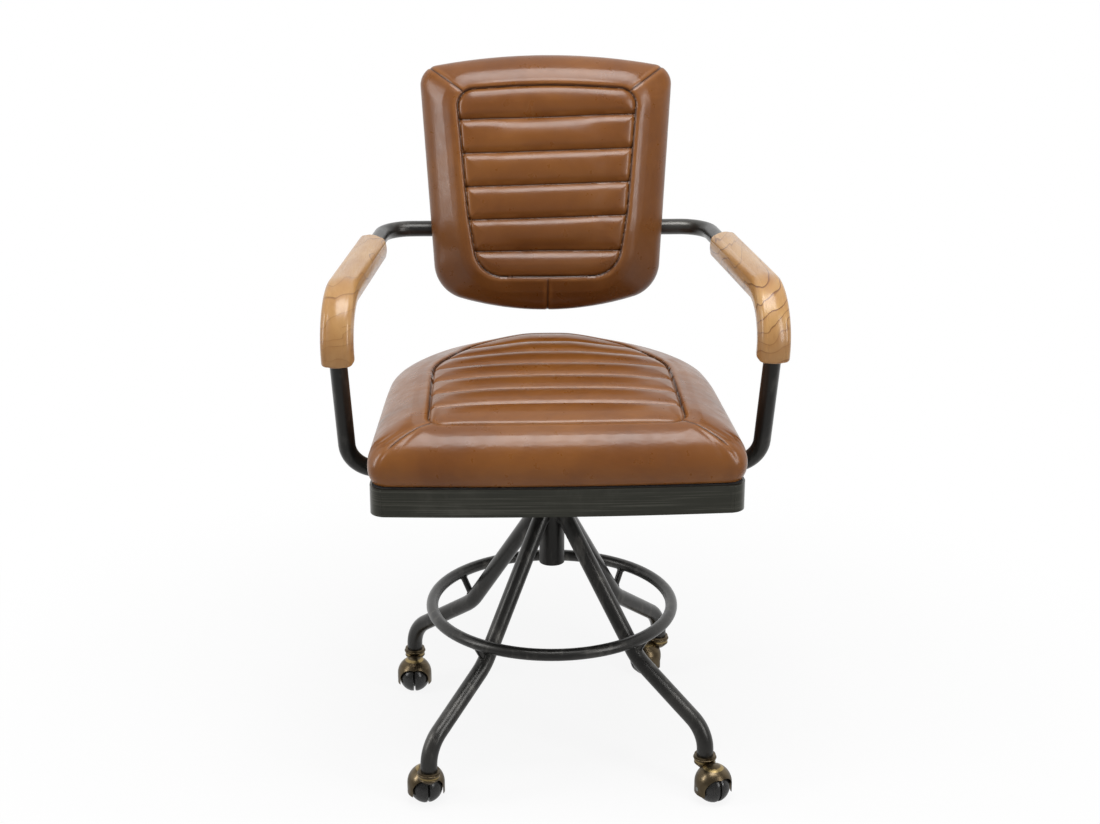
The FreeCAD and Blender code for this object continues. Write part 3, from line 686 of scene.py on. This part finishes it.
def sew(piece, on_face, visible, row, panel, mitre, mitre_share, middle_share, creases):
    """Presses the seams into a skin, and keeps on it how far each point is from them.

    on_face gives each point's place on the cushion's face. row holds the number of rows, their
    pitch, and as its phase each point's place across them, counted in rows. The mitre runs from
    the panel to a corner, the same on both sides; the middle seam runs along the face's centre
    line. Creases are folds beside the mitre: offset, depth, width, and where along the mitre
    they start and end.
    """
    points = places(piece.data)
    border = off_outline(on_face, rounded(panel))
    rows, pitch = row["rows"], row["pitch"]
    phase = row["phase"]
    inside = border < 0
    nearest = np.clip(np.round(phase), 0, rows - 1)
    from_row = np.abs(phase - nearest) * pitch
    one_side = np.abs(on_face[:, 0])
    start, end = np.array(mitre[0]), np.array(mitre[1])
    run = end - start
    length = np.linalg.norm(run)
    run = run / length
    offset = np.stack([one_side - start[0], on_face[:, 1] - start[1]], axis=1)
    along = offset @ run
    away = offset @ np.array([-run[1], run[0]])
    on_mitre = np.where(inside, 0.0, rising(along, -0.006, 0.002)) * mitre_share * visible
    in_middle = np.where(inside, 0.0, middle_share) * visible
    press = fold(border, seam_width, seam_depth)
    press = press + np.where(inside, fold(from_row, row_width, row_depth, 3), 0.0)
    press = press + np.where(inside, fold(np.minimum(from_row, np.abs(border)), pitch / 2, row_crown), 0.0)
    press = press + fold(away, mitre_width, mitre_depth) * on_mitre
    press = press + fold(on_face[:, 0], mitre_width, mitre_depth) * in_middle
    for aside, depth, width, first, last in creases:
        share = rising(along, first, first + 0.02) * (1.0 - rising(along, last - 0.03, last))
        drift = aside * (0.55 + along / length)
        press = press + fold(away - drift, width, depth) * share * np.where(inside, 0.0, visible)
    set_places(piece.data, points - outward(piece.data) * (press * visible)[:, None])
    fields = {
        "border": np.where(visible > 0.5, border, 1.0),
        "row": phase,
        "mitre": away,
        "mitre_share": on_mitre,
        "middle": on_face[:, 0],
        "middle_share": in_middle,
    }
    for name, values in fields.items():
        field = piece.data.attributes.new(name, "FLOAT", "POINT")
        field.data.foreach_set("value", values.astype(np.float32))
    smooth(piece.data)


def tube_between(points, radius, closed, sides=8):
    """Vertices and faces of a round bar along the points, its radius a number or one for each point."""
    count = len(points)
    radii = radius if isinstance(radius, list) else [radius] * count
    verts, faces = [], []
    up = None
    for i, p in enumerate(points):
        ahead = points[(i + 1) % count] if closed or i < count - 1 else p
        behind = points[i - 1] if closed or i > 0 else p
        along = (ahead - behind).normalized()
        if up is None:
            up = along.orthogonal().normalized()
        up = (up - along * up.dot(along)).normalized()
        side = along.cross(up)
        for k in range(sides):
            a = 2 * math.pi * k / sides
            verts.append(p + (up * math.cos(a) + side * math.sin(a)) * radii[i])
    spans = count if closed else count - 1
    for i in range(spans):
        j = (i + 1) % count
        for k in range(sides):
            m = (k + 1) % sides
            faces.append((i * sides + k, i * sides + m, j * sides + m, j * sides + k))
    if not closed:
        faces.append(tuple(reversed(range(sides))))
        faces.append(tuple(range((count - 1) * sides, count * sides)))
    return verts, faces


def joined(parts):
    """One mesh from several lists of vertices and faces."""
    mesh = bpy.data.meshes.new("joined")
    verts, faces = [], []
    for part_verts, part_faces in parts:
        base = len(verts)
        verts.extend(part_verts)
        faces.extend(tuple(base + i for i in face) for face in part_faces)
    mesh.from_pydata([tuple(v) for v in verts], [], faces)
    smooth(mesh)
    return mesh


def surface_of(node):
    return tree_of(nodes[node].data)


def weld(start, end, radius, onto, bead=weld_radius, steps=72):
    """A rippled bead where a round bar from start to end meets the surface."""
    along = (end - start).normalized()
    across = along.orthogonal().normalized()
    other = along.cross(across)
    line = []
    for k in range(steps):
        a = 2 * math.pi * k / steps
        offset = (across * math.cos(a) + other * math.sin(a)) * radius
        hit = onto.ray_cast(start + offset, along)[0]
        if hit is not None:
            line.append(hit)
    radii = []
    for i, p in enumerate(line):
        ripple = abs(math.sin(i * 0.9))
        radii.append(bead * (0.80 + 0.20 * ripple + 0.12 * noise.noise(p * 300)))
    return tube_between(line, radii, len(line) == steps)


def stitches(line):
    """Short threads along a line of points, one every stitch pitch."""
    parts = []
    spare = 0.0
    for a, b in zip(line, line[1:]):
        run = b - a
        if run.length < 1e-6:
            continue
        along = run.normalized()
        while spare + stitch_length < run.length:
            first = a + along * spare
            last = first + along * stitch_length
            middle = (first + last) / 2
            radii = [stitch_radius * 0.5, stitch_radius, stitch_radius, stitch_radius * 0.5]
            path = [first, first.lerp(middle, 0.4), middle.lerp(last, 0.6), last]
            parts.append(tube_between(path, radii, False, 6))
            spare += stitch_pitch
        spare = max(0.0, spare - run.length)
    return parts


def on_skin(piece, places_above, down):
    """Where lines dropped on a skin land on it."""
    tree = tree_of(piece.data)
    hits = [tree.ray_cast(p, down)[0] for p in places_above]
    return [h for h in hits if h is not None]


def polar(radius, degrees, z):
    a = math.radians(degrees)
    return Vector((radius * math.cos(a), radius * math.sin(a), z))


def inside_share(border, fade):
    """1 well inside an outline, falling to 0 over a band outside it."""
    return np.clip(0.5 - border / fade, 0.0, 1.0)


def rising(values, low, high):
    """0 below the low value and 1 above the high one, smooth between."""
    share = np.clip((values - low) / (high - low), 0.0, 1.0)
    return share * share * (3.0 - 2.0 * share)


# Seat cushion
def seat_held(points):
    return points[:, 2] < seat_floor + held_edge


def seat_crown(points):
    border = off_outline(points[:, :2], rounded(seat_panel)) - 0.020 * rising(points[:, 1], 0.07, 0.11)
    return inside_share(border, crown_fade) * rising(points[:, 2], seat_crown_low, seat_crown_high)


seat = skin_from("seat_cushion", "seat_leather", seat_crown)
swollen(seat, seat_held)
refine(seat)
keep_to(seat, "seat_cushion", seat_crown)
points = places(seat.data)
side = np.abs(points[:, 0])
shoulder = sum(share * rising(side, near, far) for share, near, far in droop_parts)
shoulder = shoulder * rising(points[:, 1], *droop_along)
points[:, 2] -= seat_droop * shoulder * rising(points[:, 2], *droop_heights)
set_places(seat.data, points)
seat_row = {"rows": seat_rows, "pitch": seat_pitch, "phase": (points[:, 1] - seat_first) / seat_pitch}
visible = (points[:, 2] > seat_floor + under_edge).astype(float)
sew(seat, points[:, :2], visible, seat_row, seat_panel, seat_mitre,
    rising(points[:, 2], seat_mitre_low, seat_mitre_high), 0.0, seat_creases)
points = places(seat.data)
points[:, 2] = np.maximum(points[:, 2], seat_floor)
set_places(seat.data, points)
dress(seat, "leather", seat_finish)
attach(seat, "seat")
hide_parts("seat_cushion")
# black cloth under the seat board; on the board's edge it is painted shade for the gap between cushion and
# hoop
lining = new_piece("seat_lining_and_edge_shade", nodes["seat_board"].data.copy(), "seat")
lining.data.materials.clear()
lining.data.materials.append(lining_cloth_and_edge_shade())
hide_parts("seat_board")

# Back cushion, which wraps round its board
across_back = Vector((1.0, 0.0, 0.0))
up_back = Vector((0.0, math.sin(recline), math.cos(recline)))
out_back = Vector((0.0, -math.cos(recline), math.sin(recline)))
back_axes = np.array([across_back, up_back, out_back])
lean = math.tan(math.radians(back_lean))


def back_local(points):
    """Across, up and out of the back, from places in the frame."""
    return (points - np.array(tube_mid)) @ back_axes.T


def from_local(local):
    """Places in the frame, from across, up and out of the back."""
    return local @ back_axes + np.array(tube_mid)


def back_phase(face):
    """Place across the rows, counted in rows, which slope a little above the lowest one."""
    share = np.clip((face[:, 1] - back_first) / back_pitch, 0.0, 1.0)
    return (face[:, 1] - lean * face[:, 0] * share - back_first) / back_pitch


def from_back(x, s, n):
    return tube_mid + across_back * x + up_back * s + out_back * n


def back_held(points):
    return back_local(points)[:, 2] < board_front + held_edge


def back_crown(points):
    face = back_local(points)
    border = off_outline(face[:, :2], rounded(back_panel))
    return inside_share(border, crown_fade) * rising(face[:, 2], back_crown_low, back_crown_high)


back = skin_from("back_cushion", "back_leather", back_crown)
swollen(back, back_held)
refine(back)
keep_to(back, "back_cushion", back_crown)
local = back_local(places(back.data))
past_seam = rising(off_outline(local[:, :2], rounded(back_panel)), 0.0, shoulder_width)
thick = np.maximum(local[:, 2] - board_front, 0.0)
local[:, 2] -= thick * shoulder_fall * past_seam
set_places(back.data, from_local(local))
back_row = {"rows": back_rows, "pitch": back_pitch, "phase": back_phase(local)}
visible = (local[:, 2] > board_front + under_edge).astype(float)
below_panel = 1.0 - rising(local[:, 1], middle_seam_full, middle_seam_top)
sew(back, local[:, :2], visible, back_row, back_panel, back_mitre, 1.0, below_panel, back_creases)
local = back_local(places(back.data))
wrap_from = board_front + wrap_depth
depth = local[:, 2]
stretch = (wrap_from - board_back - cover_gap) / (wrap_from - board_front - board_gap)
local[:, 2] = np.where(depth < wrap_from, wrap_from - (wrap_from - depth) * stretch, depth)
local[:, 2] = np.maximum(local[:, 2], board_back + cover_gap)
set_places(back.data, from_local(local))
dress(back, "leather", back_finish)
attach(back, "seat")
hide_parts("back_cushion", "back_board")

# Stitches in the valleys between the channels
parts = []
for k in range(seat_rows):
    y = seat_first + k * seat_pitch
    half = seat_stitch_half - seat_stitch_taper * k
    above = [Vector((x, y, 0.6)) for x in np.linspace(-half, half, 90)]
    parts += stitches(on_skin(seat, above, Vector((0, 0, -1))))
seat_thread = new_piece("seat_stitches", joined(parts), "seat")
seat_thread.data.materials.append(thread)
parts = []
for k in range(back_rows):
    s = back_first + k * back_pitch
    half = back_stitch_half if k > 0 else back_stitch_low
    slope = lean if k > 0 else 0.0
    above = [from_back(x, s + slope * x, 0.14) for x in np.linspace(-half, half, 70)]
    parts += stitches(on_skin(back, above, -out_back))
back_thread = new_piece("back_stitches", joined(parts), "seat")
back_thread.data.materials.append(thread)

# Rear cover, leather turned over the edge of its board
cover = bpy.data.objects.new("back_cover", nodes["back_panel"].data.copy())
bpy.context.scene.collection.objects.link(cover)
edge = cover.modifiers.new("turned_edge", "BEVEL")
edge.width = 0.0018
edge.segments = 4
edge.angle_limit = math.radians(50)
settle(cover)
smooth(cover.data)
dress(cover, "leather")
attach(cover, "seat")
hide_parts("back_panel")

# Screw thread, cut into the spindle
low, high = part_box("spindle")
spindle_radius = (high[0] - low[0]) / 2
rings = int((high[2] - low[2]) / thread_pitch * 8)
sides = 48
verts = []
faces = []
for i in range(rings + 1):
    z = low[2] + (high[2] - low[2]) * i / rings
    for k in range(sides):
        a = 2 * math.pi * k / sides
        turn = (z / thread_pitch - k / sides) % 1.0
        cut = thread_depth * max(0.0, 1.0 - abs(turn - 0.5) * 3.2)
        if i in (0, rings):
            cut = thread_depth
        r = spindle_radius - cut
        verts.append((r * math.cos(a), r * math.sin(a), z))
for i in range(rings):
    for k in range(sides):
        m = (k + 1) % sides
        faces.append((i * sides + k, i * sides + m, (i + 1) * sides + m, (i + 1) * sides + k))
faces.append(tuple(reversed(range(sides))))
faces.append(tuple(range(rings * sides, (rings + 1) * sides)))
screw = new_piece("lift_screw", joined([(verts, faces)]), "seat")
dress(screw, "bright_steel")
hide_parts("spindle")

# Welds
hub_surface = surface_of("hub_tube")
ring_surface = surface_of("foot_ring")
leg_top = Vector((0.0, 0.0, knee[1] + knee[0] * math.tan(leg_slope)))
parts = []
for i, name in enumerate(corner_names):
    at = 45.0 + 90.0 * i + leg_turn
    middle_run = polar(leg_run, at, knee[1] + (knee[0] - leg_run) * math.tan(leg_slope))
    parts.append(weld(middle_run, leg_top, leg_radius, hub_surface))
    ring_end = polar(ring_at[0], at, ring_at[1])
    leg_end = polar(strut_foot[0], at, strut_foot[1])
    between = ring_end.lerp(leg_end, 0.5)
    parts.append(weld(between, ring_end, strut_radius, ring_surface, strut_bead, strut_bead_points))
    leg_surface = surface_of("leg_" + name)
    parts.append(weld(between, leg_end, strut_radius, leg_surface, strut_bead, strut_bead_points))
base_welds = new_piece("base_welds", joined(parts), "base")
dress(base_welds, "tube_metal")
band_surface = surface_of("seat_band")
parts = []
for side in (1.0, -1.0):
    corner = Vector((low_corner[0] * side, low_corner[1], low_corner[2]))
    inner = Vector((tube_end[0] * side, tube_end[1], tube_end[2]))
    parts.append(weld(corner, inner, leg_radius, band_surface))
tube_welds = new_piece("tube_welds", joined(parts), "seat")
dress(tube_welds, "tube_metal")
hoop_low, hoop_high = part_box("seat_band")
parts = []
for x in (-hoop_seam_x, hoop_seam_x):
    line = []
    for z in np.linspace(hoop_low[2] + 0.001, hoop_high[2] - 0.001, 24):
        hit = band_surface.ray_cast(Vector((x, hoop_low[1] - 0.1, z)), Vector((0, 1, 0)))[0]
        line.append(hit + Vector((0.0003 * noise.noise(Vector((x, 0.0, z)) * 400), 0.0, 0.0)))
    parts.append(tube_between(line, 0.0005, False))
hoop_seams = new_piece("hoop_seams", joined(parts), "seat")
dress(hoop_seams, "hoop_metal")

# Finishes of the CAD pieces
replaced = {"seat_cushion", "seat_board", "back_cushion", "back_board", "back_panel", "spindle"}
for subpart in frame["record"]["subparts"]:
    if subpart["node"] not in replaced:
        mesh = nodes[subpart["node"]].data
        mesh.materials.clear()
        mesh.materials.append(finishes[subpart["material_slot"]])

# Floor and light
world_level = 0.20
studio_dim = 0.30           # how bright the studio in front of the chair looks to its glossy faces


def dim_in_front(tree, behind, ray, reach):
    """A strength of 1, but less for reflections of what stands in front, as in a photo studio."""
    dimmed = tree.nodes.new("ShaderNodeMapRange")
    dimmed.interpolation_type = "SMOOTHSTEP"
    set_range(dimmed, -reach, reach, studio_dim, 1.0)
    tree.links.new(behind, dimmed.inputs["Value"])
    either = tree.nodes.new("ShaderNodeMath")
    either.operation = "MAXIMUM"
    tree.links.new(dimmed.outputs["Result"], either.inputs[0])
    tree.links.new(ray.outputs["Is Camera Ray"], either.inputs[1])
    return either.outputs[0]


shadow_near = 0.30          # distances from the axis over which the floor's shadow pales
shadow_far = 1.1
shadow_paleness = 0.89
reach = 12.0
floor_corners = [(-reach, -reach, 0), (reach, -reach, 0), (reach, reach, 0), (-reach, reach, 0)]
floor_mesh = bpy.data.meshes.new("floor")
floor_mesh.from_pydata(floor_corners, [], [(0, 1, 2, 3)])
floor = bpy.data.objects.new("floor", floor_mesh)
bpy.context.scene.collection.objects.link(floor)
paper = bpy.data.materials.new("white_paper")
paper.use_nodes = True
tree = paper.node_tree
tree.nodes.clear()
out = tree.nodes.new("ShaderNodeOutputMaterial")
matt = tree.nodes.new("ShaderNodeBsdfDiffuse")
matt.inputs["Color"].default_value = (0.92, 0.92, 0.92, 1.0)
glow = tree.nodes.new("ShaderNodeEmission")
ray = tree.nodes.new("ShaderNodeLightPath")
seen = tree.nodes.new("ShaderNodeMath")
seen.operation = "MAXIMUM"
tree.links.new(ray.outputs["Is Camera Ray"], seen.inputs[0])
tree.links.new(ray.outputs["Is Glossy Ray"], seen.inputs[1])
place = tree.nodes.new("ShaderNodeTexCoord")
away = tree.nodes.new("ShaderNodeVectorMath")
away.operation = "LENGTH"
tree.links.new(place.outputs["Object"], away.inputs[0])
paleness = tree.nodes.new("ShaderNodeMapRange")
paleness.interpolation_type = "SMOOTHSTEP"
set_range(paleness, shadow_near, shadow_far, shadow_paleness, 1.0)
tree.links.new(away.outputs["Value"], paleness.inputs["Value"])
share = tree.nodes.new("ShaderNodeMath")
share.operation = "MULTIPLY"
tree.links.new(seen.outputs[0], share.inputs[0])
tree.links.new(paleness.outputs["Result"], share.inputs[1])
behind = tree.nodes.new("ShaderNodeSeparateXYZ")
tree.links.new(place.outputs["Object"], behind.inputs["Vector"])
dimmed = dim_in_front(tree, behind.outputs["Y"], ray, 0.9)
tree.links.new(dimmed, glow.inputs["Strength"])
mix = tree.nodes.new("ShaderNodeMixShader")
tree.links.new(share.outputs[0], mix.inputs["Fac"])
tree.links.new(matt.outputs[0], mix.inputs[1])
tree.links.new(glow.outputs[0], mix.inputs[2])
tree.links.new(mix.outputs[0], out.inputs["Surface"])
floor_mesh.materials.append(paper)

world = bpy.data.worlds.new("studio")
bpy.context.scene.world = world
world.use_nodes = True
tree = world.node_tree
background = tree.nodes["Background"]
background.inputs["Color"].default_value = (1.0, 1.0, 1.0, 1.0)
ray = tree.nodes.new("ShaderNodeLightPath")
seen = tree.nodes.new("ShaderNodeMath")
seen.operation = "MAXIMUM"
tree.links.new(ray.outputs["Is Camera Ray"], seen.inputs[0])
tree.links.new(ray.outputs["Is Transmission Ray"], seen.inputs[1])
both = tree.nodes.new("ShaderNodeMath")
both.operation = "MAXIMUM"
tree.links.new(seen.outputs[0], both.inputs[0])
tree.links.new(ray.outputs["Is Glossy Ray"], both.inputs[1])
heading = tree.nodes.new("ShaderNodeTexCoord")
behind = tree.nodes.new("ShaderNodeSeparateXYZ")
tree.links.new(heading.outputs["Generated"], behind.inputs["Vector"])
level = tree.nodes.new("ShaderNodeMapRange")
level.inputs["To Min"].default_value = world_level
tree.links.new(dim_in_front(tree, behind.outputs["Y"], ray, 0.35), level.inputs["To Max"])
tree.links.new(both.outputs[0], level.inputs["Value"])
tree.links.new(level.outputs["Result"], background.inputs["Strength"])


def softbox(name, place, target, width, height, power):
    lamp = bpy.data.lights.new(name, "AREA")
    lamp.shape = "RECTANGLE"
    lamp.size = width
    lamp.size_y = height
    lamp.energy = power
    holder = bpy.data.objects.new(name, lamp)
    bpy.context.scene.collection.objects.link(holder)
    holder.location = place
    holder.rotation_euler = (Vector(target) - Vector(place)).to_track_quat("-Z", "Y").to_euler()


softbox("top_box", (0.1, -0.65, 2.35), (0.0, -0.1, 0.6), 1.5, 1.0, 33.0)
softbox("left_box", (-1.9, -0.6, 1.2), (0.0, 0.0, 0.6), 0.45, 1.4, 14.0)
softbox("right_box", (1.6, -1.5, 1.2), (0.0, 0.0, 0.6), 0.55, 1.4, 16.0)

# Camera
azimuth = math.radians(camera_azimuth)
lens = bpy.data.cameras.new("camera")
lens.lens = camera_lens
lens.sensor_width = camera_sensor
lens.sensor_fit = "HORIZONTAL"
camera = bpy.data.objects.new("camera", lens)
bpy.context.scene.collection.objects.link(camera)
camera.location = Matrix.Rotation(azimuth, 3, "Z") @ Vector((camera_side, -camera_away, camera_height))
camera.rotation_euler = (math.radians(90.0 - camera_dip), 0.0, azimuth)
bpy.context.scene.camera = camera
bpy.context.scene.view_settings.view_transform = "Standard"
